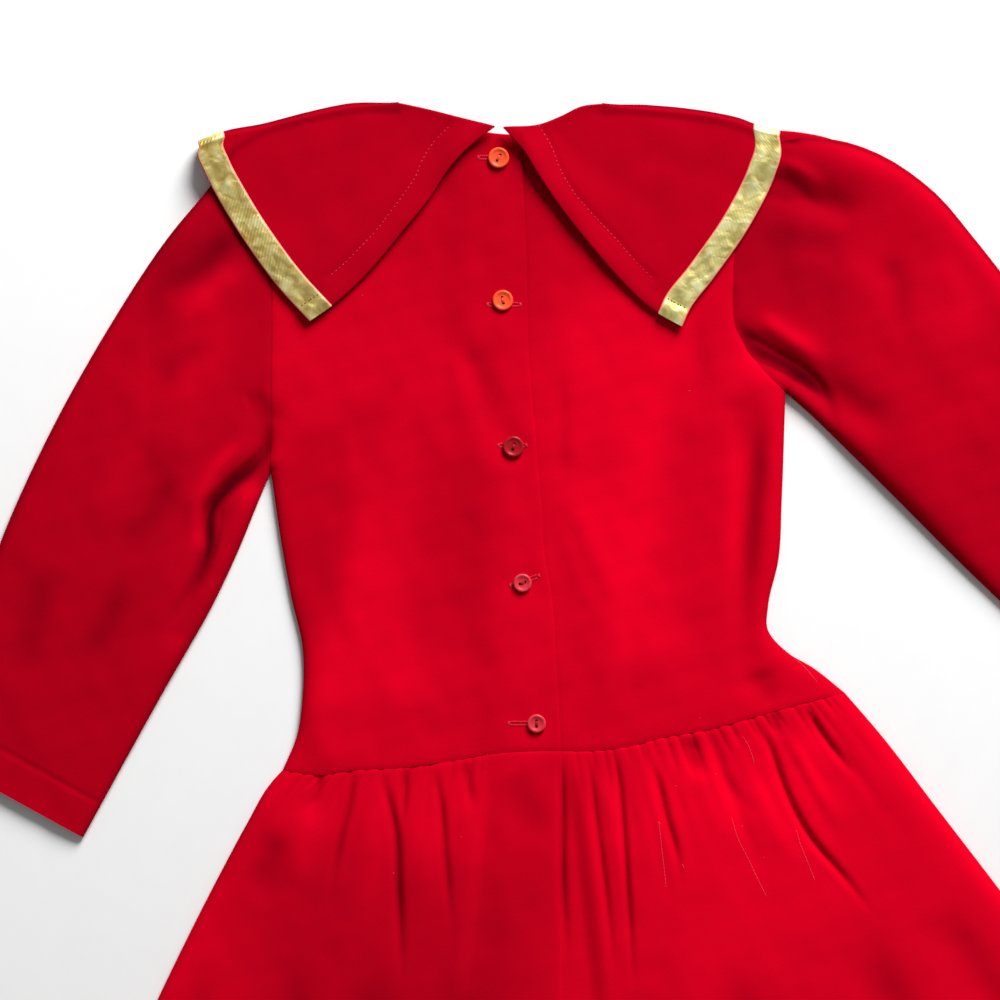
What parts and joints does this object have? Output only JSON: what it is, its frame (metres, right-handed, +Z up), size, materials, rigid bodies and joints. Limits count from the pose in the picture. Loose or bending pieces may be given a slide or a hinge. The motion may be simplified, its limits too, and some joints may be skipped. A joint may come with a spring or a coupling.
{
  "type": "party dress",
  "caption": "Child's red velveteen party dress laid on its front, with a large pointed collar edged in gold ribbon, a buttoned back and a gathered skirt.",
  "frame": {"origin": "on the surface that the dress lies on, under the middle of its outline", "axes": "+X across the dress from its left sleeve in the picture to its right one, +Y from the hem to the neck, +Z up out of its back"},
  "size_m": [0.7358, 0.6852, 0.0154],
  "materials": {
    "red_velveteen": "short soft cotton nap, matt",
    "gold_ribbon": "woven metallic ribbon with fine cross ribs, soft gloss",
    "coral_button": "moulded, soft gloss",
    "red_button": "moulded, soft gloss"
  },
  "bodies": {
    "root": {"front_bodice": "red_velveteen", "back_bodice_left": "red_velveteen", "back_bodice_right": "red_velveteen", "front_skirt": "red_velveteen", "back_skirt_left": "red_velveteen", "back_skirt_right": "red_velveteen", "sleeve_left": "red_velveteen", "sleeve_right": "red_velveteen", "collar_left": "red_velveteen", "collar_right": "red_velveteen", "ribbon_left": "gold_ribbon", "ribbon_right": "gold_ribbon", "button_1": "coral_button", "button_2": "coral_button", "button_3": "red_button", "button_4": "red_button", "button_5": "red_button"}
  },
  "joints": []
}
